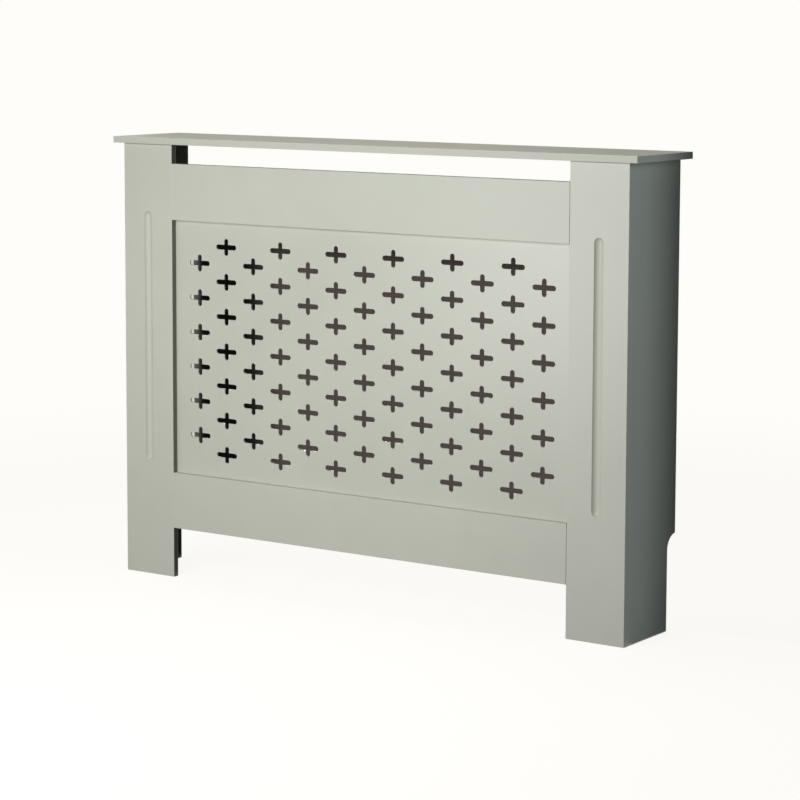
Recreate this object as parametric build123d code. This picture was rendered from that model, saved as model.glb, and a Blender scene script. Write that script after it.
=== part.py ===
from build123d import *
import os
from math import sqrt

# Radiator cover cabinet of painted 12 mm board. X runs along the front, +Y goes back to the
# wall and +Z goes up. The origin is on the floor, at the centre of the shelf's outline.
# All sizes are in millimetres.

# ---- boards and overall size
board = 12.0                    # every painted board except the grille
height = 815.0                  # floor to the top of the shelf
shelf_length = 1114.0
shelf_depth = 188.0
shelf_side_overhang = 19.0
shelf_front_overhang = 9.0
shelf_back_overhang = 8.0
shelf_corner = 1.5              # radius of the shelf's four corners, seen from above
eased_edge = 0.8                # radius sanded onto the edges that show

# ---- front frame
stile_width = 113.0
top_gap = 35.0                  # open slot between the shelf and the top rail
top_rail_height = 103.0
bottom_rail_height = 103.5
bottom_gap = 92.5               # open slot between the floor and the bottom rail
rail_fit = 0.5                  # slack of a rail between the stiles, all at its right end

# ---- flute down the middle of each stile
flute_width = 18.0
flute_depth = 5.0
flute_foot = 213.0              # floor to the flute's lower end
flute_head = 124.5              # shelf to the flute's upper end

# ---- grille
grille_thickness = 3.0
grille_overlap = 15.0           # how far the grille reaches behind the frame all round
cross_length = 46.0
cross_height = 31.0
cross_slot = 9.0
column_pitch = 61.6
row_pitch = 63.6
cross_margin = 25.0             # least plain grille between a cross and the frame
pattern_drop = 1.5              # how far the crosses sit below the middle of the window

# ---- skirting notch at the back of each side panel
notch_depth = 26.5
notch_height = 166.0
notch_corner = 3.0              # rounding where the notch meets the back edge

# ---- battens in the front corners
batten = 18.0
batten_foot = 60.0              # floor to the batten's lower end
batten_head = 30.0              # shelf to the batten's upper end
batten_edge = 1.5               # radius of the batten's free corner

# ---- dowels
dowel_radius = 3.0
dowel_length = 30.0             # in the posts and rails
shelf_dowel_length = 21.0
dowel_chamfer = 0.8
dowel_clearance = 0.05          # radial, in every dowel bore
dowel_end_room = 0.5            # free depth past each end of a dowel
dowel_skin = 3.5                # board left beyond a dowel's bore in a face
post_dowels = 4                 # in each corner post
post_dowel_inset = 55.0         # from both ends of the stile
rail_dowel_inset = 18.5         # from both edges of a rail
panel_dowel_inset = 30.0        # shelf dowels, from both edges of a side panel
stile_dowel_inset = 30.0        # shelf dowels, from the stile's outer edge

# ---- cams and their bolts
cam_radius = 6.0
cam_clearance = 0.1
cam_skin = 2.5                  # board left in front of a cam
cam_distance = 24.0             # stile's edge to the cam's axis
cam_slot_width = 1.2
cam_slot_length = 7.0
cam_slot_depth = 1.6
bolt_head_radius = 2.5
bolt_neck_radius = 1.4
bolt_shank_radius = 2.0
bolt_thread_radius = 2.5
bolt_thread_turns = 5
bolt_thread_pitch = 2.0
bolt_neck_length = 4.5
bolt_bore_room = 1.0            # radial, round the shank in the rail's end
bolt_head_room = 0.3            # radial, round the head in the cam

# ---- screws
screw_clearance = 0.05          # radial, between a screw and its pilot hole
screw_tip = 2.5                 # length of the pointed end
screw_point_radius = 0.3        # how blunt the point is
screw_crown = 0.7               # the rounded share of a head's height
screw_end_room = 0.5            # free depth past a screw's tip
screw_skin = 2.5                # board left beyond a pilot hole
recess_width = 0.8
bracket_screw_radius = 1.75
bracket_screw_head_radius = 3.4
bracket_screw_head_height = 2.2
grille_screw_radius = 1.5
grille_screw_head_radius = 3.0
grille_screw_head_height = 1.9
grille_hole_radius = 1.7
grille_screw_inset = 45.0       # from the corners of the window
grille_screw_columns = 5
grille_screw_rows = 3

# ---- steel angles
steel = 2.0
bend_radius = 1.0               # inside the bend
bracket_hole_radius = 2.0
shelf_bracket_leg = 30.0
shelf_bracket_width = 16.0
shelf_bracket_near_hole = 11.0  # from the corner, on both legs
shelf_bracket_far_hole = 23.0
stile_bracket_inset = 58.0      # from the stile's outer edge
panel_bracket_inset = 63.0      # from the stile's back face
wall_bracket_leg = 40.0
wall_bracket_width = 20.0
wall_bracket_drop = 103.0       # shelf to the middle of the bracket
wall_bracket_near_hole = 18.0   # from the wall, in the leg on the side panel
wall_bracket_far_hole = 31.0
wall_hole_distance = 25.0       # side panel to the wall screw's hole
wall_hole_radius = 2.5

# ---- places worked out from the sizes above
body_half = shelf_length / 2 - shelf_side_overhang
front_y = -shelf_depth / 2 + shelf_front_overhang
frame_back_y = front_y + board
grille_back_y = frame_back_y + grille_thickness
back_y = shelf_depth / 2 - shelf_back_overhang
wall_y = shelf_depth / 2
shelf_under_z = height - board
inner_x = body_half - board
stile_edge_x = body_half - stile_width
mid_frame_y = front_y + board / 2
mid_panel_x = body_half - board / 2
top_rail_top = shelf_under_z - top_gap
top_rail_bottom = top_rail_top - top_rail_height
bottom_rail_top = bottom_gap + bottom_rail_height
window_mid_z = (top_rail_bottom + bottom_rail_top) / 2
window_height = top_rail_bottom - bottom_rail_top

# ---- lengths worked out from the sizes above
face_dowel_depth = board - dowel_skin - dowel_end_room
bolt_thread_length = bolt_thread_turns * bolt_thread_pitch
cam_depth = board - cam_skin - cam_clearance
bracket_screw_length = steel + board - screw_skin - screw_end_room
grille_screw_length = grille_thickness + board - screw_skin - screw_end_room
shelf_bracket_holes = (shelf_bracket_near_hole, shelf_bracket_far_hole)
wall_bracket_panel_holes = (wall_bracket_near_hole, wall_bracket_far_hole)

# ---- turns that point a piece's own +Z along the row's axes
TO_BACK = Rot(-90, 0, 0)
TO_FLOOR = Rot(180, 0, 0)
TO_RIGHT = Rot(0, 90, 0)
TO_LEFT = Rot(0, -90, 0)
HALF_TURN = Rot(0, 0, 180)
QUARTER_TURN = Rot(0, 0, 90)
ON_BASE = (Align.CENTER, Align.CENTER, Align.MIN)


def spread(low, high, count):
    """Evenly spaced places from low to high, both included."""
    return [low + (high - low) * index / (count - 1) for index in range(count)]


def rod(place, radius, start, end):
    """A round rod along the place's own Z, from start to end."""
    return place * Pos(0, 0, start) * Cylinder(radius, end - start, align=ON_BASE)


# ---- fasteners, each along its own Z

def dowel(place, length):
    """A dowel with chamfered ends, from Z = 0 up."""
    body = Cylinder(dowel_radius, length, align=ON_BASE)
    return place * chamfer(body.edges().filter_by(GeomType.CIRCLE), dowel_chamfer)


def dowel_bore(place, length):
    """The bore of a dowel, longer than the dowel at both ends."""
    return rod(place, dowel_radius + dowel_clearance, -dowel_end_room, length + dowel_end_room)


def pan_screw(place, radius, length, head_radius, head_height):
    """A cross-head screw: the head sits on Z = 0 and the shank goes down from there."""
    shank = rod(Pos(), radius, screw_tip - length, 0)
    tip = Pos(0, 0, -length) * Cone(screw_point_radius, radius, screw_tip, align=ON_BASE)
    head = Cylinder(head_radius, head_height, align=ON_BASE)
    rim = head.edges().filter_by(GeomType.CIRCLE).sort_by(Axis.Z)[-1]
    head = fillet(rim, head_height * screw_crown)
    bar = Box(head_radius, recess_width, head_height, align=ON_BASE)
    recess = Pos(0, 0, head_height / 2) * (bar + QUARTER_TURN * bar)
    return place * (head + shank + tip - recess)


def pilot(place, radius, length):
    """The pilot hole of a screw, with free depth past the tip."""
    return rod(place, radius + screw_clearance, -length - screw_end_room, 0)


def bracket_screw(place):
    return pan_screw(place, bracket_screw_radius, bracket_screw_length,
                     bracket_screw_head_radius, bracket_screw_head_height)


def bracket_pilot(place):
    return pilot(place, bracket_screw_radius, bracket_screw_length)


def grille_screw(place):
    return pan_screw(place, grille_screw_radius, grille_screw_length,
                     grille_screw_head_radius, grille_screw_head_height)


def grille_pilot(place):
    return pilot(place, grille_screw_radius, grille_screw_length)


def cam_bolt(place):
    """The thread goes down from Z = 0 into the stile; shank, neck and head are in the rail."""
    neck_start = cam_distance - bolt_neck_length
    bolt = rod(Pos(), bolt_shank_radius, -bolt_thread_length, neck_start)
    bolt += rod(Pos(), bolt_neck_radius, neck_start, cam_distance)
    bolt += Pos(0, 0, cam_distance) * Sphere(bolt_head_radius)
    for turn in range(bolt_thread_turns):
        low = turn * bolt_thread_pitch - bolt_thread_length
        bolt += rod(Pos(), bolt_thread_radius, low, low + bolt_thread_pitch / 2)
    return place * bolt


def bolt_bore(place):
    """The bolt's bore in the stile's edge and its wider bore in the rail's end."""
    in_stile = rod(place, bolt_thread_radius + screw_clearance,
                   -bolt_thread_length - screw_end_room, 0)
    in_rail = rod(place, bolt_shank_radius + bolt_bore_room, 0, cam_distance)
    return in_stile + in_rail


def cam_lock(place):
    """A slotted drum flush with Z = 0, open on its own -X side for the bolt's head."""
    drum = rod(Pos(), cam_radius - cam_clearance, -cam_depth, 0)
    head_room = bolt_head_radius + bolt_head_room
    bolt_axis = Pos(0, 0, -board / 2)
    mouth = rod(bolt_axis * TO_LEFT, head_room, 0, cam_radius)
    pocket = bolt_axis * Sphere(head_room)
    bar = Box(cam_slot_length, cam_slot_width, cam_slot_depth, align=ON_BASE)
    slot = Pos(0, 0, -cam_slot_depth) * (bar + QUARTER_TURN * bar)
    return place * (drum - mouth - pocket - slot)


def cam_bore(place):
    return rod(place, cam_radius, -cam_depth - cam_clearance, 0)


# ---- steel angles: the corner is at the origin, one leg lies under Z = 0 along +X and the
# ---- other hangs down along X = 0

def angle(leg, width, level_holes, hanging_holes):
    """A bent steel angle; each hole is (distance from the corner, radius)."""
    section = make_face(Polyline((0, 0), (leg, 0), (leg, -steel), (steel, -steel),
                                 (steel, -leg), (0, -leg), close=True))
    outside = section.vertices().sort_by_distance((0, 0))[0]
    section = fillet(outside, bend_radius + steel)
    inside = section.vertices().sort_by_distance((steel, -steel))[0]
    section = fillet(inside, bend_radius)
    bracket = extrude(Plane.XZ.offset(-width / 2) * section, width)
    for distance, radius in level_holes:
        bracket -= rod(Pos(distance, 0, -steel), radius, 0, steel)
    for distance, radius in hanging_holes:
        bracket -= rod(Pos(0, 0, -distance) * TO_RIGHT, radius, 0, steel)
    return bracket


def level_screw(distance):
    """The place of a screw whose head sits on the level leg."""
    return Pos(distance, 0, -steel) * TO_FLOOR


def hanging_screw(distance):
    """The place of a screw whose head sits on the hanging leg."""
    return Pos(steel, 0, -distance) * TO_RIGHT


def shelf_bracket():
    holes = [(distance, bracket_hole_radius) for distance in shelf_bracket_holes]
    return angle(shelf_bracket_leg, shelf_bracket_width, holes, holes)


def wall_bracket():
    panel_holes = [(distance, bracket_hole_radius) for distance in wall_bracket_panel_holes]
    return angle(wall_bracket_leg, wall_bracket_width, [(wall_hole_distance, wall_hole_radius)],
                 panel_holes)


# ---- where the fasteners and angles go; side is -1 for the left and 1 for the right

def inward(side):
    """Points a bracket's level leg from the side panel towards the middle."""
    return HALF_TURN if side > 0 else Pos()


def shelf_bracket_places():
    places = []
    for side in (-1, 1):
        on_panel = Pos(side * inner_x, frame_back_y + panel_bracket_inset, shelf_under_z)
        on_stile = Pos(side * (body_half - stile_bracket_inset), frame_back_y, shelf_under_z)
        places.append(on_panel * inward(side))
        places.append(on_stile * QUARTER_TURN)
    return places


def shelf_bracket_screw_places():
    places = []
    for bracket in shelf_bracket_places():
        places += [bracket * level_screw(distance) for distance in shelf_bracket_holes]
        places += [bracket * hanging_screw(distance) for distance in shelf_bracket_holes]
    return places


def wall_bracket_places():
    z = shelf_under_z - wall_bracket_drop
    return [Pos(side * inner_x, wall_y, z) * TO_BACK * inward(side) for side in (-1, 1)]


def wall_bracket_screw_places():
    return [bracket * hanging_screw(distance) for bracket in wall_bracket_places()
            for distance in wall_bracket_panel_holes]


def post_dowel_places(side):
    """At the bottom of each bore in the stile's back face, pointing back."""
    start_y = frame_back_y - face_dowel_depth
    heights = spread(post_dowel_inset, shelf_under_z - post_dowel_inset, post_dowels)
    return [Pos(side * mid_panel_x, start_y, z) * TO_BACK for z in heights]


def rail_dowel_places(bottom, top):
    """At the bottom of each bore in the stiles' edges, pointing into the rail."""
    places = []
    start_x = stile_edge_x + dowel_length / 2
    for z in (bottom + rail_dowel_inset, top - rail_dowel_inset):
        places.append(Pos(-start_x, mid_frame_y, z) * TO_RIGHT)
        places.append(Pos(start_x, mid_frame_y, z) * TO_LEFT)
    return places


def shelf_dowel_places():
    """At the bottom of each bore in the panels' and stiles' top edges, pointing up."""
    places = []
    start_z = shelf_under_z + face_dowel_depth - shelf_dowel_length
    stile_dowel_x = body_half - stile_dowel_inset
    for side in (-1, 1):
        places.append(Pos(side * stile_dowel_x, mid_frame_y, start_z))
        for y in (frame_back_y + panel_dowel_inset, back_y - panel_dowel_inset):
            places.append(Pos(side * mid_panel_x, y, start_z))
    return places


def rail_middles():
    return [(bottom_gap + bottom_rail_top) / 2, (top_rail_bottom + top_rail_top) / 2]


def cam_bolt_places():
    """On the stiles' edges, pointing into the rails."""
    places = []
    for z in rail_middles():
        places.append(Pos(-stile_edge_x, mid_frame_y, z) * TO_RIGHT)
        places.append(Pos(stile_edge_x, mid_frame_y, z) * TO_LEFT)
    return places


def cam_places():
    """On the rails' back faces, with each cam's own -X towards the nearer stile."""
    places = []
    cam_x = stile_edge_x - cam_distance
    for z in rail_middles():
        places.append(Pos(-cam_x, frame_back_y, z) * TO_BACK)
        places.append(Pos(cam_x, frame_back_y, z) * TO_BACK * HALF_TURN)
    return places


def grille_screw_places():
    """On the back of the grille's margin, with the heads towards the wall."""
    margin = grille_overlap / 2
    reach_x = stile_edge_x - grille_screw_inset
    reach_z = window_height / 2 - grille_screw_inset
    points = []
    for x in spread(-reach_x, reach_x, grille_screw_columns):
        points.append((x, bottom_rail_top - margin))
        points.append((x, top_rail_bottom + margin))
    for z in spread(window_mid_z - reach_z, window_mid_z + reach_z, grille_screw_rows):
        points.append((-stile_edge_x - margin, z))
        points.append((stile_edge_x + margin, z))
    return [Pos(x, grille_back_y, z) * TO_BACK for x, z in points]


# ---- the bores in the boards

def all_bores():
    long_dowels = post_dowel_places(-1) + post_dowel_places(1)
    long_dowels += rail_dowel_places(bottom_gap, bottom_rail_top)
    long_dowels += rail_dowel_places(top_rail_bottom, top_rail_top)
    bores = [dowel_bore(place, dowel_length) for place in long_dowels]
    bores += [dowel_bore(place, shelf_dowel_length) for place in shelf_dowel_places()]
    bores += [bolt_bore(place) for place in cam_bolt_places()]
    bores += [cam_bore(place) for place in cam_places()]
    bores += [bracket_pilot(place) for place in shelf_bracket_screw_places()]
    bores += [bracket_pilot(place) for place in wall_bracket_screw_places()]
    bores += [grille_pilot(place) for place in grille_screw_places()]
    return bores


def boxes_meet(one, other):
    """Whether two bounding boxes reach each other."""
    along_x = one.min.X <= other.max.X and other.min.X <= one.max.X
    along_y = one.min.Y <= other.max.Y and other.min.Y <= one.max.Y
    along_z = one.min.Z <= other.max.Z and other.min.Z <= one.max.Z
    return along_x and along_y and along_z


def drilled(solid, bores):
    """The board with each bore that reaches it cut out."""
    box = solid.bounding_box()
    for bore in bores:
        if boxes_meet(box, bore.bounding_box()):
            solid -= bore
    return solid


# ---- boards

def top_shelf():
    plan = RectangleRounded(shelf_length, shelf_depth, shelf_corner)
    shelf = extrude(Pos(0, 0, shelf_under_z) * plan, board)
    faces = shelf.faces().sort_by(Axis.Z)
    return fillet(faces[0].edges() + faces[-1].edges(), eased_edge)


def flute(mid_x):
    """A round-nosed groove: a cylinder with a ball at each end, across the front face."""
    half = flute_width / 2
    nose = (half ** 2 + flute_depth ** 2) / (2 * flute_depth)
    axis_y = front_y + flute_depth - nose
    low = Pos(mid_x, axis_y, flute_foot + half)
    high = Pos(mid_x, axis_y, shelf_under_z - flute_head - half)
    straight = rod(low, nose, 0, high.position.Z - low.position.Z)
    return straight + low * Sphere(nose) + high * Sphere(nose)


def front_stile(side):
    """An upright with its two front edges eased."""
    mid_x = side * (body_half - stile_width / 2)
    plan = Pos(mid_x, mid_frame_y) * Rectangle(stile_width, board)
    front_corners = plan.vertices().group_by(Axis.Y)[0]
    return extrude(fillet(front_corners, eased_edge), shelf_under_z) - flute(mid_x)


def rail(bottom, top):
    """A rail set against the left stile, with its two front edges eased."""
    section = Rectangle(board, top - bottom)
    front_corners = section.vertices().group_by(Axis.X)[0]
    left_end = Plane((-stile_edge_x, mid_frame_y, (bottom + top) / 2), x_dir=(0, 1, 0),
                     z_dir=(1, 0, 0))
    return extrude(left_end * fillet(front_corners, eased_edge), 2 * stile_edge_x - rail_fit)


def side_panel(side):
    """The board behind a stile: a quarter round closes the skirting notch at its top."""
    notch_y = back_y - notch_depth
    arc_z = notch_height - notch_depth
    turn = notch_depth / sqrt(2)
    straights = Polyline((notch_y, arc_z), (notch_y, 0), (frame_back_y, 0),
                         (frame_back_y, shelf_under_z), (back_y, shelf_under_z),
                         (back_y, notch_height))
    quarter_round = ThreePointArc((back_y, notch_height), (back_y - turn, arc_z + turn),
                                  (notch_y, arc_z))
    face = make_face(straights + quarter_round)
    corner = face.vertices().sort_by_distance((back_y, notch_height))[0]
    low_x = min(side * inner_x, side * body_half)
    start = Plane((low_x, 0, 0), x_dir=(0, 1, 0), z_dir=(1, 0, 0))
    panel = extrude(start * fillet(corner, notch_corner), board)
    inner_and_outer = panel.faces().filter_by(Axis.X)
    rear_edges = [edge for face in inner_and_outer for edge in face.edges()
                  if edge.center().Y > notch_y - eased_edge and edge.center().Z < shelf_under_z]
    return fillet(rear_edges, eased_edge)


def cross():
    upright = SlotOverall(cross_height, cross_slot, rotation=90)
    return SlotOverall(cross_length, cross_slot) + upright


def cross_places():
    """Columns of crosses across the window; every first one is short by one cross."""
    free_width = 2 * stile_edge_x - 2 * cross_margin - cross_length
    free_height = window_height - 2 * cross_margin - cross_height
    columns = int(free_width / column_pitch) + 1
    rows = int(free_height / row_pitch) + 1
    places = []
    for column in range(columns):
        x = (column - (columns - 1) / 2) * column_pitch
        in_column = rows if column % 2 else rows - 1
        for row in range(in_column):
            z = window_mid_z - pattern_drop + (row - (in_column - 1) / 2) * row_pitch
            places.append(Pos(x, z))
    return places


def grille_panel():
    width = 2 * (stile_edge_x + grille_overlap)
    sheet = Pos(0, window_mid_z) * Rectangle(width, window_height + 2 * grille_overlap)
    sheet -= [place * cross() for place in cross_places()]
    for place in grille_screw_places():
        sheet -= Pos(place.position.X, place.position.Z) * Circle(grille_hole_radius)
    return extrude(Plane.XZ.offset(-frame_back_y) * sheet, -grille_thickness)


def corner_batten(side):
    """A batten in the corner of stile and side panel, with its free corner rounded."""
    middle = Pos(side * (inner_x - batten / 2), frame_back_y + batten / 2)
    plan = middle * Rectangle(batten, batten)
    free_corner = plan.vertices().sort_by_distance((0, back_y))[0]
    length = shelf_under_z - batten_head - batten_foot
    return Pos(0, 0, batten_foot) * extrude(fillet(free_corner, batten_edge), length)


# ---- assembly

def boards():
    bores = all_bores()
    return {
        "top_shelf": drilled(top_shelf(), bores),
        "left_side_panel": drilled(side_panel(-1), bores),
        "right_side_panel": drilled(side_panel(1), bores),
        "left_front_stile": drilled(front_stile(-1), bores),
        "right_front_stile": drilled(front_stile(1), bores),
        "top_rail": drilled(rail(top_rail_bottom, top_rail_top), bores),
        "bottom_rail": drilled(rail(bottom_gap, bottom_rail_top), bores),
        "grille_panel": grille_panel(),
        "left_corner_batten": corner_batten(-1),
        "right_corner_batten": corner_batten(1),
    }


def dowels():
    bottom_places = rail_dowel_places(bottom_gap, bottom_rail_top)
    top_places = rail_dowel_places(top_rail_bottom, top_rail_top)
    return {
        "left_post_dowels": [dowel(place, dowel_length) for place in post_dowel_places(-1)],
        "right_post_dowels": [dowel(place, dowel_length) for place in post_dowel_places(1)],
        "bottom_rail_dowels": [dowel(place, dowel_length) for place in bottom_places],
        "top_rail_dowels": [dowel(place, dowel_length) for place in top_places],
        "shelf_dowels": [dowel(place, shelf_dowel_length) for place in shelf_dowel_places()],
    }


def hardware():
    return {
        "cam_bolts": [cam_bolt(place) for place in cam_bolt_places()],
        "cam_locks": [cam_lock(place) for place in cam_places()],
        "grille_screws": [grille_screw(place) for place in grille_screw_places()],
        "shelf_brackets": [place * shelf_bracket() for place in shelf_bracket_places()],
        "shelf_bracket_screws": [bracket_screw(place) for place in shelf_bracket_screw_places()],
        "wall_brackets": [place * wall_bracket() for place in wall_bracket_places()],
        "wall_bracket_screws": [bracket_screw(place) for place in wall_bracket_screw_places()],
    }


def main():
    os.makedirs("parts", exist_ok=True)
    nodes = boards()
    for name, pieces in {**dowels(), **hardware()}.items():
        nodes[name] = Compound(children=pieces)
    for name, shape in nodes.items():
        export_step(shape, f"parts/{name}.step")


main()
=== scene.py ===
from math import cos, pi, radians, sin
from typing import NamedTuple

import bmesh
import bpy
from bpy.props import FloatProperty, FloatVectorProperty, IntProperty, PointerProperty
from mathutils import Matrix, Vector


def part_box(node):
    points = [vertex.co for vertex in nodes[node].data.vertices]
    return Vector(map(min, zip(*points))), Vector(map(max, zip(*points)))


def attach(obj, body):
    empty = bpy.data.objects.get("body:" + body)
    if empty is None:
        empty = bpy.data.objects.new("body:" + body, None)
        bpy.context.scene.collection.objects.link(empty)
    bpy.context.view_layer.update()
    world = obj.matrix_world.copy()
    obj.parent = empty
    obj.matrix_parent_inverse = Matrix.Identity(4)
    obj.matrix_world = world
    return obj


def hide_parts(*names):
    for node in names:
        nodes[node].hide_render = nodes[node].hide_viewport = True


bl_info = {
    "name": "Radiator cover",
    "version": (1, 0, 0),
    "blender": (4, 5, 0),
    "location": "3D View > Sidebar > Radiator cover",
    "description": "Paints, details and lights a radiator cover cabinet of painted board",
    "category": "Object",
}

# The cabinet's frame: metres, X along the front, +Y back to the wall, +Z up.
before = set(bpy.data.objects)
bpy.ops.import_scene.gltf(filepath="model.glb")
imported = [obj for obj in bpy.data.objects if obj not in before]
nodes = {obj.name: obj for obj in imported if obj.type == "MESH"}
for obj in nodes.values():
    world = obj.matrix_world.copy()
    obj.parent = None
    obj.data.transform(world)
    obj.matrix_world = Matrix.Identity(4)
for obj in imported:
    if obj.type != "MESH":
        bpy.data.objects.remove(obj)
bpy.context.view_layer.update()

BODY = "root"
FRAME_BOARDS = ("left_front_stile", "right_front_stile", "top_rail", "bottom_rail")
SIDE_BOARDS = ("left_side_panel", "right_side_panel")
BATTENS = ("left_corner_batten", "right_corner_batten")
DOWELS = ("left_post_dowels", "right_post_dowels", "top_rail_dowels", "bottom_rail_dowels",
          "shelf_dowels")
STEEL = ("shelf_brackets", "wall_brackets")
SCREWS = ("shelf_bracket_screws", "wall_bracket_screws", "grille_screws", "cam_bolts")
MM = 0.001
MICRON = MM * MM

# How far the stiles' and the side panels' inner faces are from the cabinet's middle.
STILE_INSIDE = -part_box("left_front_stile")[1].x
SIDE_INSIDE = -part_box("left_side_panel")[1].x

# Where a board's thickness lies, by axis number.
THICK_X = 0
THICK_Y = 1
THICK_Z = 2


# ---- sizes and colours that a user would change

class CoverPaint(bpy.types.PropertyGroup):
    """The satin paint that covers every board."""

    colour: FloatVectorProperty(
        name="Paint colour", description="Colour of the paint on every board",
        subtype="COLOR", size=3, min=0.0, max=1.0, default=(0.520, 0.532, 0.468))
    frame_roughness: FloatProperty(
        name="Frame roughness", description="How matt the paint on the boards is",
        subtype="FACTOR", min=0.0, max=1.0, default=0.40)
    grille_roughness: FloatProperty(
        name="Grille roughness", description="How matt the paint on the grille is",
        subtype="FACTOR", min=0.0, max=1.0, default=0.33)
    gloss: FloatProperty(
        name="Gloss", description="How much light the paint's surface mirrors",
        subtype="FACTOR", min=0.0, max=1.0, default=0.5)
    mottling: FloatProperty(
        name="Mottling", description="How far the colour drifts over a board",
        subtype="FACTOR", min=0.0, max=1.0, default=0.03)
    # Painted shade: the faces inside are painted darker, to stand for the shade on them.
    painted_inner_shade: FloatProperty(
        name="Painted inner shade", description="How light the paint is on the faces inside",
        subtype="FACTOR", min=0.0, max=1.0, default=0.26)
    peel_depth: FloatProperty(
        name="Roller texture", description="Height of the stipple that the roller leaves",
        unit="LENGTH", min=0.0, default=0.000006, precision=6)
    cut_depth: FloatProperty(
        name="Cut texture", description="Height of the fibres under the paint of a cut edge",
        unit="LENGTH", min=0.0, default=0.00002, precision=6)


class CoverGrille(bpy.types.PropertyGroup):
    """The plus-shaped holes of the grille."""

    cross_length: FloatProperty(
        name="Cross length", description="Length of a hole's level slot",
        unit="LENGTH", default=0.046)
    cross_height: FloatProperty(
        name="Cross height", description="Length of a hole's upright slot",
        unit="LENGTH", default=0.031)
    slot: FloatProperty(
        name="Slot width", description="Width of both slots", unit="LENGTH", default=0.009)
    column_pitch: FloatProperty(
        name="Column pitch", description="Distance between two columns of holes",
        unit="LENGTH", default=0.0616)
    row_pitch: FloatProperty(
        name="Row pitch", description="Distance between two holes of a column",
        unit="LENGTH", default=0.0636)
    columns: IntProperty(
        name="Columns", description="Number of columns of holes", min=1, default=13)
    rows: IntProperty(
        name="Rows", description="Holes in the taller columns", min=2, default=7)
    pattern_drop: FloatProperty(
        name="Pattern drop", description="How far the holes sit below the grille's middle",
        unit="LENGTH", default=0.0015)
    rim: FloatProperty(
        name="Rim", description="Rounding of the paint at the edge of a hole",
        unit="LENGTH", default=0.0004, precision=5)


class CoverStage(bpy.types.PropertyGroup):
    """The floor, the background and the light. Each lamp's power bears the lamp's name."""

    background: FloatVectorProperty(
        name="Background", description="Colour of the backdrop and of the floor far away",
        subtype="COLOR", size=3, min=0.0, max=1.0, default=(0.991, 0.982, 0.947))
    ambient: FloatProperty(
        name="Ambient light", description="Strength of the light from all around",
        min=0.0, default=0.0)
    key_power: FloatProperty(
        name="Key light", description="Power of the soft light high in front",
        unit="POWER", min=0.0, default=17.4)
    low_power: FloatProperty(
        name="Low light", description="Power of the large soft light low in front",
        unit="POWER", min=0.0, default=5.8)
    left_power: FloatProperty(
        name="Left light", description="Power of the soft light at the front left",
        unit="POWER", min=0.0, default=8.5)
    top_power: FloatProperty(
        name="Top light", description="Power of the soft light overhead",
        unit="POWER", min=0.0, default=15.0)
    right_end_power: FloatProperty(
        name="Right end light", description="Power of the soft light at the right end",
        unit="POWER", min=0.0, default=12.6)
    left_end_power: FloatProperty(
        name="Left end light", description="Power of the soft light at the left end",
        unit="POWER", min=0.0, default=20.0)
    rear_power: FloatProperty(
        name="Rear light", description="Power of the soft light behind the cabinet",
        unit="POWER", min=0.0, default=30.0)


SETTINGS = {"cover_paint": CoverPaint, "cover_grille": CoverGrille, "cover_stage": CoverStage}


# ---- shader nodes

class Wire:
    """An output socket. A sum on it adds the Math node that works it out."""

    def __init__(self, graph, socket):
        self.graph = graph
        self.socket = socket

    def other(self, name):
        """Another output of the same node."""
        return Wire(self.graph, self.socket.node.outputs[name])

    def __add__(self, value):
        return self.graph.sum("ADD", self, value)

    def __sub__(self, value):
        return self.graph.sum("SUBTRACT", self, value)

    def __rsub__(self, value):
        return self.graph.sum("SUBTRACT", value, self)

    def __mul__(self, value):
        return self.graph.sum("MULTIPLY", self, value)

    def __abs__(self):
        return self.graph.sum("ABSOLUTE", self)

    def least(self, value):
        return self.graph.sum("MINIMUM", self, value)

    def most(self, value):
        return self.graph.sum("MAXIMUM", self, value)

    __radd__ = __add__
    __rmul__ = __mul__


class Graph:
    """The shader nodes of a material or of the world."""

    def __init__(self, owner):
        owner.use_nodes = True
        self.tree = owner.node_tree
        self.tree.nodes.clear()

    def add(self, kind, settings=None, sockets=None, output=0):
        """Makes a node: its settings come first, then its sockets' values and links."""
        node = self.tree.nodes.new(kind)
        for name, value in (settings or {}).items():
            setattr(node, name, value)
        for name, value in (sockets or {}).items():
            if isinstance(value, Wire):
                self.tree.links.new(value.socket, node.inputs[name])
            else:
                node.inputs[name].default_value = value
        return Wire(self, node.outputs[output] if node.outputs else None)

    def sum(self, operation, *values):
        """Works out numbers."""
        return self.add("ShaderNodeMath", {"operation": operation}, dict(enumerate(values)))

    def vector(self, operation, *values):
        """Works out vectors."""
        return self.add("ShaderNodeVectorMath", {"operation": operation},
                        dict(enumerate(values)))

    def place(self):
        """Where a point of the piece is, in metres."""
        return self.add("ShaderNodeTexCoord", output="Object")

    def split(self, vector):
        """A vector's three numbers."""
        x = self.add("ShaderNodeSeparateXYZ", sockets={0: vector})
        return [x, x.other("Y"), x.other("Z")]

    def noise(self, place, scale, detail=2.0, roughness=0.5):
        """A noise from about 0 to 1, with scale features to a metre."""
        return self.add("ShaderNodeTexNoise", sockets={
            "Vector": place, "Scale": scale, "Detail": detail, "Roughness": roughness})

    def step(self, value, low, high, start=0.0, end=1.0):
        """Goes smoothly from start to end while value goes from low to high."""
        return self.add("ShaderNodeMapRange", {"interpolation_type": "SMOOTHSTEP"}, {
            "Value": value, "From Min": low, "From Max": high, "To Min": start,
            "To Max": end})

    def mix(self, share, first, second):
        """Mixes two colours."""
        return self.add("ShaderNodeMix", {"data_type": "RGBA"},
                        {0: share, 6: first, 7: second}, output=2)

    def bump(self, height):
        """The normal of a surface raised by height, in metres."""
        return self.add("ShaderNodeBump", sockets={
            "Height": height, "Strength": 1.0, "Distance": 1.0})

    def finish(self, shader):
        """Makes the shader the material's surface."""
        self.add("ShaderNodeOutputMaterial", sockets={"Surface": shader})


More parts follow.
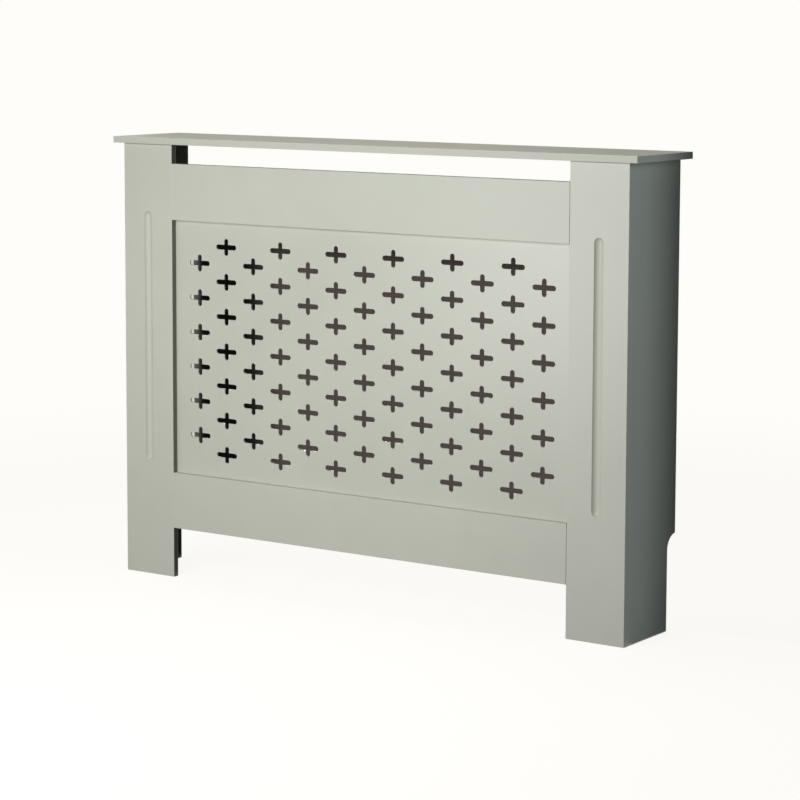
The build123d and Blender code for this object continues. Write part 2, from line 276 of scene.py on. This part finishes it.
def opaque(colour):
    """A colour with its alpha."""
    return (*colour, 1.0)


def shade(colour, factor):
    """A colour made lighter or darker, with its alpha."""
    return opaque(channel * factor for channel in colour)


def new_graph(name):
    """A new material and its empty graph."""
    material = bpy.data.materials.new(name)
    return material, Graph(material)


def give(piece, material):
    """Puts one material on the whole piece."""
    piece.data.materials.clear()
    piece.data.materials.append(material)


# ---- paint

# The distances over which the paint changes: in from a board's broad faces to the cut ones, in
# from any edge, out from the inner face of a corner post, where it is painted darker as painted
# shade, and down from a board's top, where a painted shadow lies under the shelf.
CUT_DEPTHS = (0.3 * MM, 1.2 * MM)
ARRIS_DEPTHS = (0.4 * MM, 2.5 * MM)
INNER_DEPTHS = (0.3 * MM, 0.9 * MM)
SHELF_SHADOW_DEPTHS = (2.4 * MM, 0.8 * MM)

# How light the paint is there, next to the rest, and how much of that tone shows.
CUT_TONE = 0.93
CUT_SHARE = 0.5
ARRIS_TONE = 1.08
ARRIS_SHARE = 0.25
# The tone of the painted shadow under the shelf.
SHELF_SHADOW_TONE = 0.5

DRIFT_SHARE = 0.7
CLOUD_SHARE = 0.3
SAG_HEIGHT = 60 * MICRON
CLOUD_MATTING = 0.08
CUT_MATTING = 0.12


def painted_board(name, box, thick_axis, paint, roughness, inside=None):
    """Satin paint, smooth on the board's faces and fibrous where the board was cut.

    On a board of a corner post, the faces nearer to the cabinet's middle than inside are painted
    darker as painted shade, and a darker band down from the top is a painted shadow of the shelf.
    """
    material, graph = new_graph(name)
    low, high = box
    middle = (low + high) / 2
    half = (high - low) / 2
    place = graph.place()
    from_middle = graph.vector("ABSOLUTE", graph.vector("SUBTRACT", place, middle))
    depths = graph.split(graph.vector("SUBTRACT", half, from_middle))
    x, y, z = depths
    nearest_edge = x.least(y).most(x.most(y).least(z))
    cut = graph.step(depths[thick_axis], *CUT_DEPTHS)
    arris = graph.step(nearest_edge, *ARRIS_DEPTHS, start=1.0, end=0.0)

    drift = graph.noise(place, scale=2.3, detail=2.0)
    cloud = graph.noise(place, scale=19.0, detail=3.0)
    tone = graph.step(drift * DRIFT_SHARE + cloud * CLOUD_SHARE, 0.3, 0.7)
    dark = shade(paint.colour, 1.0 - paint.mottling)
    light = shade(paint.colour, 1.0 + paint.mottling)
    colour = graph.mix(tone, dark, light)
    colour = graph.mix(cut * CUT_SHARE, colour, shade(paint.colour, CUT_TONE))
    colour = graph.mix(arris * ARRIS_SHARE, colour, shade(paint.colour, ARRIS_TONE))
    if inside:
        # Painted shade: the inner faces are painted darker, to stand for the shade on them.
        along, _, up = graph.split(place)
        behind_arris = graph.step(y, *CUT_DEPTHS)
        inner_from, inner_to = INNER_DEPTHS
        inner = graph.step(abs(along), inside + inner_from, inside + inner_to, 1.0, 0.0)
        colour = graph.mix(inner * behind_arris, colour, shade(paint.colour, paint.painted_inner_shade))
        # Painted shadow: a darker band down from the board's top stands for the shadow under the
        # shelf.
        shadow_from, shadow_to = SHELF_SHADOW_DEPTHS
        shelf_shadow = graph.step(up, high.z - shadow_from, high.z - shadow_to)
        colour = graph.mix(shelf_shadow, colour, shade(paint.colour, SHELF_SHADOW_TONE))

    fibres = graph.noise(place, scale=1400.0, detail=3.0, roughness=0.7)
    peel = graph.noise(place, scale=620.0, detail=1.0)
    sags = graph.noise(place, scale=9.0, detail=1.0)
    height = peel * paint.peel_depth + fibres * cut * paint.cut_depth + sags * SAG_HEIGHT
    matt = roughness + (cloud - 0.5) * CLOUD_MATTING + cut * CUT_MATTING
    shader = graph.add("ShaderNodeBsdfPrincipled", sockets={
        "Base Color": colour, "Roughness": matt, "Normal": graph.bump(height),
        "Specular IOR Level": paint.gloss})
    graph.finish(shader)
    return material


# ---- bare wood

WOOD_GLOSS = 0.35

PINE_EARLY = (0.60, 0.40, 0.205, 1.0)
PINE_LATE = (0.37, 0.195, 0.075, 1.0)
PINE_FIBRE = (0.68, 0.50, 0.29, 1.0)
# How far the middle of the tree lies from the batten's corner, and how wide its rings are.
HEART_X = 31 * MM
HEART_Y = 44 * MM
RING_WIDTH = 3.1 * MM
RING_SWAY = 9.0
# The grain runs up the batten, so a point's height counts for little.
RING_STRETCH = (1.0, 1.0, 0.06)
SWAY_STRETCH = (1.0, 1.0, 0.4)
FIBRE_STRETCH = (1.0, 1.0, 0.03)

BEECH_BROWN = (0.56, 0.36, 0.20, 1.0)
BEECH_PALE = (0.66, 0.46, 0.28, 1.0)
BEECH_FLECK = (0.33, 0.17, 0.08, 1.0)


def softwood(name, box):
    """Planed pine with its grain upright."""
    material, graph = new_graph(name)
    place = graph.vector("SUBTRACT", graph.place(), box[0])
    bend = graph.noise(graph.vector("MULTIPLY", place, SWAY_STRETCH), scale=7.0)
    x, y, _ = graph.split(graph.vector("MULTIPLY", place, RING_STRETCH))
    square = (x + HEART_X) * (x + HEART_X) + (y - HEART_Y) * (y - HEART_Y)
    rings = graph.sum("SQRT", square) * (2 * pi / RING_WIDTH) + bend * RING_SWAY
    late = graph.step(graph.sum("SINE", rings), 0.1, 0.95)
    fibre = graph.noise(graph.vector("MULTIPLY", place, FIBRE_STRETCH),
                        scale=1900.0, detail=3.0, roughness=0.7)
    colour = graph.mix(late * 0.75, PINE_EARLY, PINE_LATE)
    colour = graph.mix(fibre * 0.35, colour, PINE_FIBRE)
    height = fibre * (35 * MICRON) + late * (15 * MICRON)
    shader = graph.add("ShaderNodeBsdfPrincipled", sockets={
        "Base Color": colour, "Roughness": 0.72 - late * 0.12, "Normal": graph.bump(height),
        "Specular IOR Level": WOOD_GLOSS})
    graph.finish(shader)
    return material


def beech():
    """Turned beech with short dark flecks."""
    material, graph = new_graph("beech")
    place = graph.place()
    grain = graph.noise(place, scale=2600.0, roughness=0.6)
    fleck = graph.step(grain, 0.56, 0.68)
    warm = graph.noise(place, scale=60.0)
    colour = graph.mix(warm, BEECH_BROWN, BEECH_PALE)
    colour = graph.mix(fleck * 0.6, colour, BEECH_FLECK)
    shader = graph.add("ShaderNodeBsdfPrincipled", sockets={
        "Base Color": colour, "Roughness": 0.6 + grain * 0.15,
        "Normal": graph.bump(grain * (20 * MICRON)), "Specular IOR Level": WOOD_GLOSS})
    graph.finish(shader)
    return material


# ---- metal

ZINC_BLUE = (0.60, 0.635, 0.67, 1.0)
ZINC_STRAW = (0.70, 0.675, 0.60, 1.0)
ZINC_SPECK = (0.42, 0.42, 0.42, 1.0)
DRAWN_STRETCH = (1.0, 12.0, 12.0)

CAST_DARK = (0.30, 0.30, 0.31, 1.0)
CAST_WORN = (0.44, 0.44, 0.45, 1.0)


def metal(graph, colour, roughness, height):
    """Bare metal with a fine relief."""
    graph.finish(graph.add("ShaderNodeBsdfPrincipled", sockets={
        "Base Color": colour, "Metallic": 1.0, "Roughness": roughness,
        "Normal": graph.bump(height)}))


def zinc_plate():
    """Bright zinc plating: faint blue and straw clouds over drawn steel."""
    material, graph = new_graph("zinc_plate")
    place = graph.place()
    cloud = graph.noise(place, scale=55.0, detail=3.0)
    drawn = graph.noise(graph.vector("MULTIPLY", place, DRAWN_STRETCH), scale=320.0)
    speck = graph.step(graph.noise(place, scale=900.0), 0.62, 0.72)
    colour = graph.mix(graph.step(cloud, 0.35, 0.65), ZINC_BLUE, ZINC_STRAW)
    colour = graph.mix(speck * 0.35, colour, ZINC_SPECK)
    metal(graph, colour, 0.27 + cloud * 0.16, drawn * (4 * MICRON) + speck * (6 * MICRON))
    return material


def cast_zinc():
    """Tumbled die casting: dull grey with a fine grain."""
    material, graph = new_graph("cast_zinc")
    place = graph.place()
    grain = graph.noise(place, scale=2300.0, detail=3.0, roughness=0.65)
    worn = graph.noise(place, scale=160.0)
    metal(graph, graph.mix(worn, CAST_DARK, CAST_WORN), 0.42 + grain * 0.2,
          grain * (30 * MICRON))
    return material


# ---- the grille

ARC_STEPS = 6
RIM_STEPS = 3
SCREW_HOLE_SIDES = 20
SCREW_HOLE_RADIUS = 1.7 * MM
SCREW_INSET = 45 * MM
SCREWS_ALONG = (-1.0, -0.5, 0.0, 0.5, 1.0)
SCREWS_UP = (-1.0, 0.0, 1.0)
FRAME_LAP = 15 * MM
SHARP_ANGLE = radians(40)
WELD = 0.001 * MM


def quarter_arc(bm, middle, radius):
    """A quarter circle in the XZ plane, from middle's right to above it. Gives its two ends."""
    start = bm.verts.new((middle[0] + radius, 0.0, middle[1]))
    turned = bmesh.ops.spin(bm, geom=[start], cent=(middle[0], 0.0, middle[1]),
                            axis=(0.0, -1.0, 0.0), angle=pi / 2, steps=ARC_STEPS)
    return start, turned["geom_last"][0]


def cross_face(bm, grille):
    """The plus-shaped outline of a hole, larger by its rim: one quarter, mirrored twice."""
    radius = grille.slot / 2 + grille.rim
    level_end = (grille.cross_length - grille.slot) / 2
    upright_end = (grille.cross_height - grille.slot) / 2
    _, level_side = quarter_arc(bm, (level_end, 0.0), radius)
    upright_side, _ = quarter_arc(bm, (0.0, upright_end), radius)
    corner = bm.verts.new((radius, 0.0, radius))
    bm.edges.new((level_side, corner))
    bm.edges.new((corner, upright_side))
    for axis in ("X", "Z"):
        bmesh.ops.mirror(bm, geom=bm.verts[:] + bm.edges[:], matrix=Matrix(),
                         merge_dist=WELD, axis=axis)
    return bmesh.ops.edgeloop_fill(bm, edges=bm.edges[:])["faces"][0]


def screw_hole_face(bm, grille):
    """The round outline of a screw's hole, larger by its rim."""
    bmesh.ops.create_circle(bm, cap_ends=True, segments=SCREW_HOLE_SIDES,
                            radius=SCREW_HOLE_RADIUS + grille.rim,
                            matrix=Matrix.Rotation(pi / 2, 4, "X"))
    return bm.faces[:][0]


def verts_in(geometry):
    return [item for item in geometry if isinstance(item, bmesh.types.BMVert)]


def faces_in(geometry):
    return [item for item in geometry if isinstance(item, bmesh.types.BMFace)]


def hole_mesh(outline, grille, half_thickness):
    """The front half of a hole's wall with its rounded rim, as a mesh to copy."""
    bm = bmesh.new()
    face = outline(bm, grille)
    for step in range(RIM_STEPS):
        start = pi / 2 * step / RIM_STEPS
        end = pi / 2 * (step + 1) / RIM_STEPS
        bmesh.ops.inset_region(bm, faces=[face], use_boundary=True, use_even_offset=True,
                               thickness=grille.rim * (sin(end) - sin(start)))
        bmesh.ops.translate(bm, verts=face.verts,
                            vec=(0.0, grille.rim * (cos(start) - cos(end)), 0.0))
    wall = bmesh.ops.extrude_face_region(bm, geom=[face])["geom"]
    bmesh.ops.translate(bm, vec=(0.0, half_thickness - grille.rim, 0.0), verts=verts_in(wall))
    covers = faces_in(wall) + ([face] if face.is_valid else [])
    bmesh.ops.delete(bm, geom=covers, context="FACES_ONLY")
    mesh = bpy.data.meshes.new("hole")
    bm.to_mesh(mesh)
    bm.free()
    return mesh


def cross_places(grille):
    """Columns of holes about the middle; every first one is short by one hole."""
    places = []
    for column in range(grille.columns):
        x = (column - (grille.columns - 1) / 2) * grille.column_pitch
        rows = grille.rows if column % 2 else grille.rows - 1
        for row in range(rows):
            places.append((x, (row - (rows - 1) / 2) * grille.row_pitch - grille.pattern_drop))
    return places


def screw_places(half_width, half_height):
    """Along the margin that laps behind the frame."""
    margin = FRAME_LAP / 2
    reach_x = half_width - FRAME_LAP - SCREW_INSET
    reach_z = half_height - FRAME_LAP - SCREW_INSET
    places = []
    for share in SCREWS_ALONG:
        places.append((share * reach_x, margin - half_height))
        places.append((share * reach_x, half_height - margin))
    for share in SCREWS_UP:
        places.append((margin - half_width, share * reach_z))
        places.append((half_width - margin, share * reach_z))
    return places


def add_holes(bm, mesh, places, front):
    """Copies a hole's wall to each place, with its rim on the front face."""
    for x, z in places:
        before = set(bm.verts)
        bm.from_mesh(mesh)
        bmesh.ops.translate(bm, vec=(x, front, z),
                            verts=[vert for vert in bm.verts if vert not in before])


def grille_sheet(name, grille, box):
    """The grille board: half of it is filled between its holes, then mirrored to the back."""
    low, high = box
    half = (high - low) / 2
    bm = bmesh.new()
    cross = hole_mesh(cross_face, grille, half.y)
    screw_hole = hole_mesh(screw_hole_face, grille, half.y)
    add_holes(bm, cross, cross_places(grille), -half.y)
    add_holes(bm, screw_hole, screw_places(half.x, half.z), -half.y)
    on_front = [edge for edge in bm.edges if edge.is_boundary
                and all(vert.co.y < WELD - half.y for vert in edge.verts)]
    corners = [bm.verts.new((side_x * half.x, -half.y, side_z * half.z))
               for side_x, side_z in ((-1, -1), (1, -1), (1, 1), (-1, 1))]
    border = [bm.edges.new((corners[index - 1], corners[index])) for index in range(4)]
    filled = bmesh.ops.triangle_fill(bm, use_beauty=True, edges=on_front + border)["geom"]
    flat = faces_in(filled)
    for face in bm.faces:
        face.smooth = True
    for face in flat:
        face.smooth = False
    side = bmesh.ops.extrude_edge_only(bm, edges=border)["geom"]
    bmesh.ops.translate(bm, vec=(0.0, half.y, 0.0), verts=verts_in(side))
    bmesh.ops.mirror(bm, geom=bm.verts[:] + bm.edges[:] + bm.faces[:], matrix=Matrix(),
                     merge_dist=WELD, axis="Y")
    bmesh.ops.recalc_face_normals(bm, faces=bm.faces[:])
    for edge in bm.edges:
        edge.smooth = edge.calc_face_angle(0.0) < SHARP_ANGLE
    bmesh.ops.translate(bm, vec=(low + high) / 2, verts=bm.verts[:])
    piece = new_object(name, bm)
    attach(piece, BODY)
    return piece


def new_object(name, bm):
    """Turns a bmesh into an object of the scene."""
    mesh = bpy.data.meshes.new(name)
    bm.to_mesh(mesh)
    bm.free()
    thing = bpy.data.objects.new(name, mesh)
    bpy.context.scene.collection.objects.link(thing)
    return thing


# ---- floor, card of painted shade, and flags

WHITE = (1.0, 1.0, 1.0, 1.0)
FLAG_BLACK = (0.01, 0.01, 0.01, 1.0)

FLOOR_RADIUS = 7.0
FLOOR_SIDES = 96
FLOOR_DROP = 0.2 * MM
# The floor takes the cabinet's shadow out to the first distance and none past the second.
FLOOR_FADE = (0.9, 2.6)
FLOOR_GLOW = 0.94
FLOOR_LIT = (0.1, 0.1, 0.1, 1.0)
FLOOR_BOUNCE = (0.25, 0.25, 0.25, 1.0)

# The card stands behind the grille, between the side panels, and leans back: a dark sheet of
# painted shade for the space behind the grille, with painted light at its left end. Its tones
# depend on where a line that slants back to the left meets the plane of its far edge.
CARD_LOW = (-0.5258, -0.060, 0.18)
CARD_HIGH = (0.5258, 0.0845, 0.645)
CARD_SLANT = 0.822
# Tones of the painted shade, deep and lighter, and of the painted light at the left end.
CARD_DEEP_SHADE = (0.004, 0.004, 0.004, 1.0)
CARD_SHADE = (0.072, 0.060, 0.054, 1.0)
CARD_PAINTED_LIGHT = (0.9, 0.88, 0.80, 1.0)
# Where the strip of painted light at the left starts and ends, and its weak halo.
STRIP_START = (-0.524, -0.519)
STRIP_END = (-0.5155, -0.5115)
STRIP_SHARE = 0.6
HALO_END = (-0.513, -0.49)
HALO_SHARE = 0.1
# Where the deep painted shade at the left turns to a lighter brown painted shade, and where the
# brown is painted darker towards the top, as the shadow under the shelf.
BROWN_START = (-0.40, -0.29)
DIM_START = (0.578, 0.611)
DIM_SHARE = 0.45

SIDE_FLAG = "stage_side_flag"
FLAGS = {
    SIDE_FLAG: ((0.56, 0.105, 0.0), (0.80, 0.105, 1.4)),
    "stage_rear_flag": ((-1.6, 1.2, 0.0), (3.2, 1.2, 1.6)),
    "stage_floor_flag": ((-0.52, -0.06, 0.002), (2.6, 1.2, 0.002)),
}


def seen_directly(graph):
    """1 for a ray from the camera, a mirror or clear glass, 0 for the light that bounces."""
    ray = graph.add("ShaderNodeLightPath", output="Is Camera Ray")
    return ray.most(ray.other("Is Glossy Ray")).most(ray.other("Is Transmission Ray"))


def emission(graph, colour, strength=1.0):
    return graph.add("ShaderNodeEmission", sockets={"Color": colour, "Strength": strength})


def diffuse(graph, colour):
    return graph.add("ShaderNodeBsdfDiffuse", sockets={"Color": colour})


def blend_shaders(graph, share, first, second):
    return graph.add("ShaderNodeMixShader", sockets={0: share, 1: first, 2: second})


def floor_material(stage):
    """Pale floor: it shows the background's colour and, near the cabinet, its shadow."""
    material, graph = new_graph("stage_floor")
    x, y, _ = graph.split(graph.place())
    away = graph.sum("SQRT", x * x + y * y)
    lit = graph.add("ShaderNodeAddShader", sockets={
        0: emission(graph, opaque(stage.background), FLOOR_GLOW),
        1: diffuse(graph, FLOOR_LIT)})
    shown = blend_shaders(graph, graph.step(away, *FLOOR_FADE), lit,
                          emission(graph, opaque(stage.background)))
    bounced = diffuse(graph, FLOOR_BOUNCE)
    graph.finish(blend_shaders(graph, seen_directly(graph), bounced, shown))
    return material


def painted_shade_card_material():
    """Painted shade for the space behind the grille, seen from the front alone, with painted
    light at its left end.
    """
    material, graph = new_graph("stage_card")
    across, back, up = graph.split(graph.place())
    x = across - (CARD_HIGH[1] - back) * CARD_SLANT
    strip = graph.step(x, *STRIP_END, start=STRIP_SHARE, end=0.0)
    halo = graph.step(x, *HALO_END, start=HALO_SHARE, end=0.0)
    painted_light = (strip + halo) * graph.step(x, *STRIP_START)
    dim_light_share = graph.step(x, *BROWN_START) * graph.step(up, *DIM_START, start=1.0, end=DIM_SHARE)
    # Painted shade in black and brown, with painted light at the left end.
    colour = graph.mix(painted_light, graph.mix(dim_light_share, CARD_DEEP_SHADE, CARD_SHADE), CARD_PAINTED_LIGHT)
    clear = graph.add("ShaderNodeBsdfTransparent")
    behind = graph.add("ShaderNodeNewGeometry", output="Backfacing")
    graph.finish(blend_shaders(graph, behind, emission(graph, colour), clear))
    return material


def black_material():
    material, graph = new_graph("stage_black")
    graph.finish(diffuse(graph, FLAG_BLACK))
    return material


def stage_object(name, bm, material):
    """A thing of the stage, which isn't part of the cabinet."""
    thing = new_object(name, bm)
    give(thing, material)
    return thing


def flat_sheet(low, high):
    """A flat rectangle between two corners: level, or facing the front and upright or leaning."""
    bm = bmesh.new()
    corners = (low, (high[0], low[1], low[2]), high, (low[0], high[1], high[2]))
    bm.faces.new([bm.verts.new(corner) for corner in corners])
    return bm


def make_floor(stage):
    bm = bmesh.new()
    bmesh.ops.create_circle(bm, cap_ends=True, segments=FLOOR_SIDES, radius=FLOOR_RADIUS)
    bmesh.ops.translate(bm, vec=(0.0, 0.0, -FLOOR_DROP), verts=bm.verts[:])
    stage_object("stage_floor", bm, floor_material(stage))


def make_painted_shade_card():
    """The card of painted shade behind the grille, which only the camera sees."""
    card = stage_object("stage_card", flat_sheet(CARD_LOW, CARD_HIGH), painted_shade_card_material())
    card.visible_diffuse = False
    card.visible_glossy = False
    card.visible_transmission = False
    card.visible_shadow = False


def make_flags():
    """Black cards: one shades the right end's back, two keep the white room out of the gloss."""
    black = black_material()
    for name, (low, high) in FLAGS.items():
        flag = stage_object(name, flat_sheet(low, high), black)
        flag.visible_camera = False
        flag.visible_shadow = name == SIDE_FLAG


# ---- lamps, world and camera

class Lamp(NamedTuple):
    """A soft rectangular lamp, and the pieces that it spares."""

    place: tuple
    target: tuple
    width: float
    height: float
    colour: tuple
    spares: tuple = ()


# Of the cabinet, the lamp at the right end lights the shelf and the right stile and side panel
# alone, because its light would reach the rest through the slots or along the front.
RIGHT_END_SPARES = BATTENS + DOWELS + STEEL + SCREWS + (
    "cam_locks", "grille_sheet", "top_rail", "bottom_rail", "left_front_stile",
    "left_side_panel", "stage_floor")

LAMPS = {
    "key": Lamp(place=(0.12, -1.85, 1.2), target=(0.1, 0.0, 0.45), width=0.7, height=0.5,
                colour=(1.0, 1.0, 0.99)),
    "low": Lamp(place=(-0.1, -1.75, 0.55), target=(0.0, 0.0, 0.42), width=0.9, height=0.7,
                colour=(0.99, 1.0, 0.98)),
    "left": Lamp(place=(-0.6, -1.76, 0.55), target=(0.1, 0.0, 0.5), width=0.6, height=0.6,
                 colour=(0.98, 1.0, 0.96)),
    "top": Lamp(place=(-0.15, 0.15, 2.2), target=(-0.15, 0.1, 0.8), width=1.1, height=0.8,
                colour=(1.0, 0.93, 0.89), spares=("left_side_panel",)),
    "right_end": Lamp(place=(2.2, 0.46, 1.05), target=(0.538, 0.4, 0.5), width=0.9, height=1.6,
                      colour=(0.86, 0.96, 1.0), spares=RIGHT_END_SPARES),
    "left_end": Lamp(place=(-2.3, 0.3, 0.55), target=(-0.538, 0.0, 0.45), width=1.0, height=0.9,
                     colour=(1.0, 1.0, 1.0), spares=("stage_floor",)),
    "rear": Lamp(place=(-1.6, 2.2, 0.42), target=(0.0, 0.0, 0.4), width=1.1, height=0.6,
                 colour=(1.0, 1.0, 1.0), spares=("stage_floor",)),
}

# The camera's place in metres, its angles in degrees, its lens in millimetres and its shift in
# shares of the frame.
CAMERA_PLACE = (2.63354, -3.74518, 1.03163)
CAMERA_AZIMUTH = 33.608
CAMERA_ELEVATION = 6.3736
CAMERA_ROLL = 0.3229
CAMERA_LENS = 116.804
CAMERA_SHIFT = (-0.07, -0.1125)


def spare(thing, names):
    """Keeps a lamp's light off some pieces, as a studio's black cards do."""
    spared = bpy.data.collections.new(thing.name + "_spares")
    thing.light_linking.receiver_collection = spared
    for name in names:
        spared.objects.link(bpy.data.objects[name])
    for entry in spared.collection_objects:
        entry.light_linking.link_state = "EXCLUDE"


def make_lamp(name, power):
    lamp = LAMPS[name]
    light = bpy.data.lights.new(name, "AREA")
    light.shape = "RECTANGLE"
    light.size = lamp.width
    light.size_y = lamp.height
    light.energy = power
    light.color = lamp.colour
    # With lamps that spare pieces, this sampling gives a brightness that changes when lines that
    # do nothing are added to the script.
    light.cycles.use_multiple_importance_sampling = False
    thing = bpy.data.objects.new(name, light)
    thing.location = lamp.place
    aim = Vector(lamp.target) - Vector(lamp.place)
    thing.rotation_euler = aim.to_track_quat("-Z", "Y").to_euler()
    thing.visible_camera = False
    bpy.context.scene.collection.objects.link(thing)
    if lamp.spares:
        spare(thing, lamp.spares)


def make_world(stage):
    """Shows the background's colour, and lights with the ambient strength."""
    world = bpy.data.worlds.new("studio")
    bpy.context.scene.world = world
    graph = Graph(world)
    around = graph.add("ShaderNodeBackground", sockets={
        "Color": WHITE, "Strength": stage.ambient})
    shown = graph.add("ShaderNodeBackground", sockets={
        "Color": opaque(stage.background), "Strength": 1.0})
    graph.add("ShaderNodeOutputWorld", sockets={
        "Surface": blend_shaders(graph, seen_directly(graph), around, shown)})


def make_camera():
    lens = bpy.data.cameras.new("camera")
    lens.lens = CAMERA_LENS
    lens.shift_x, lens.shift_y = CAMERA_SHIFT
    camera = bpy.data.objects.new("camera", lens)
    camera.location = CAMERA_PLACE
    turn = Matrix.Rotation(radians(CAMERA_AZIMUTH), 3, "Z")
    tilt = Matrix.Rotation(radians(90 - CAMERA_ELEVATION), 3, "X")
    roll = Matrix.Rotation(radians(CAMERA_ROLL), 3, "Z")
    camera.rotation_euler = (turn @ tilt @ roll).to_euler()
    bpy.context.scene.collection.objects.link(camera)
    bpy.context.scene.camera = camera


# ---- operators

def need(names):
    """Stops with a plain message when the frame lacks a node."""
    missing = [name for name in names if name not in nodes]
    if missing:
        raise RuntimeError(f"the frame has no node named {missing}")


class COVER_OT_paint_frame(bpy.types.Operator):
    """Paint the stiles and rails of the front"""

    bl_idname = "cover.paint_frame"
    bl_label = "Paint the front frame"

    def execute(self, context):
        need(FRAME_BOARDS)
        paint = context.scene.cover_paint
        for name in FRAME_BOARDS:
            inside = STILE_INSIDE if name.endswith("stile") else None
            give(nodes[name], painted_board(name + "_paint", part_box(name), THICK_Y, paint,
                                            paint.frame_roughness, inside))
        return {"FINISHED"}


class COVER_OT_paint_sides(bpy.types.Operator):
    """Paint the two side panels"""

    bl_idname = "cover.paint_sides"
    bl_label = "Paint the side panels"

    def execute(self, context):
        need(SIDE_BOARDS)
        paint = context.scene.cover_paint
        for name in SIDE_BOARDS:
            give(nodes[name], painted_board(name + "_paint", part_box(name), THICK_X, paint,
                                            paint.frame_roughness, SIDE_INSIDE))
        return {"FINISHED"}


class COVER_OT_paint_shelf(bpy.types.Operator):
    """Paint the shelf on top"""

    bl_idname = "cover.paint_shelf"
    bl_label = "Paint the shelf"

    def execute(self, context):
        need(["top_shelf"])
        paint = context.scene.cover_paint
        give(nodes["top_shelf"], painted_board("top_shelf_paint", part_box("top_shelf"), THICK_Z,
                                               paint, paint.frame_roughness))
        return {"FINISHED"}


class COVER_OT_make_grille(bpy.types.Operator):
    """Make the grille with its plus-shaped holes and paint it"""

    bl_idname = "cover.make_grille"
    bl_label = "Make the grille"

    def execute(self, context):
        need(["grille_panel"])
        paint = context.scene.cover_paint
        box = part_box("grille_panel")
        piece = grille_sheet("grille_sheet", context.scene.cover_grille, box)
        give(piece, painted_board("grille_paint", box, THICK_Y, paint, paint.grille_roughness))
        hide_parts("grille_panel")
        return {"FINISHED"}


class COVER_OT_finish_wood(bpy.types.Operator):
    """Give the battens and dowels their bare wood"""

    bl_idname = "cover.finish_wood"
    bl_label = "Finish battens and dowels"

    def execute(self, context):
        need(BATTENS + DOWELS)
        for name in BATTENS:
            give(nodes[name], softwood(name + "_pine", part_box(name)))
        dowel_wood = beech()
        for name in DOWELS:
            give(nodes[name], dowel_wood)
        return {"FINISHED"}


class COVER_OT_finish_metal(bpy.types.Operator):
    """Give the brackets, screws, bolts and cams their metal"""

    bl_idname = "cover.finish_metal"
    bl_label = "Finish the metal pieces"

    def execute(self, context):
        need(STEEL + SCREWS + ("cam_locks",))
        plate = zinc_plate()
        for name in STEEL + SCREWS:
            give(nodes[name], plate)
        give(nodes["cam_locks"], cast_zinc())
        return {"FINISHED"}


class COVER_OT_set_stage(bpy.types.Operator):
    """Make the floor, the background, the lamps and the camera"""

    bl_idname = "cover.set_stage"
    bl_label = "Set the stage"

    def execute(self, context):
        stage = context.scene.cover_stage
        make_floor(stage)
        make_painted_shade_card()
        make_flags()
        make_world(stage)
        for name in LAMPS:
            make_lamp(name, getattr(stage, name + "_power"))
        make_camera()
        context.scene.view_settings.view_transform = "Standard"
        return {"FINISHED"}


OPERATORS = (COVER_OT_paint_frame, COVER_OT_paint_sides, COVER_OT_paint_shelf,
             COVER_OT_make_grille, COVER_OT_finish_wood, COVER_OT_finish_metal,
             COVER_OT_set_stage)


class COVER_PT_panel(bpy.types.Panel):
    """Lists the steps and what each of them reads"""

    bl_label = "Radiator cover"
    bl_space_type = "VIEW_3D"
    bl_region_type = "UI"
    bl_category = "Radiator cover"

    def draw(self, context):
        for setting in SETTINGS:
            group = getattr(context.scene, setting)
            box = self.layout.box()
            for name in group.__annotations__:
                box.prop(group, name)
        for operator in OPERATORS:
            self.layout.operator(operator.bl_idname)


CLASSES = (*SETTINGS.values(), *OPERATORS, COVER_PT_panel)


def register():
    for item in CLASSES:
        bpy.utils.register_class(item)
    for name, group in SETTINGS.items():
        setattr(bpy.types.Scene, name, PointerProperty(type=group))


def unregister():
    for name in SETTINGS:
        delattr(bpy.types.Scene, name)
    for item in reversed(CLASSES):
        bpy.utils.unregister_class(item)


def main():
    """Makes everything."""
    register()
    bpy.ops.cover.paint_frame()
    bpy.ops.cover.paint_sides()
    bpy.ops.cover.paint_shelf()
    bpy.ops.cover.make_grille()
    bpy.ops.cover.finish_wood()
    bpy.ops.cover.finish_metal()
    bpy.ops.cover.set_stage()


if __name__ == "__main__":
    main()
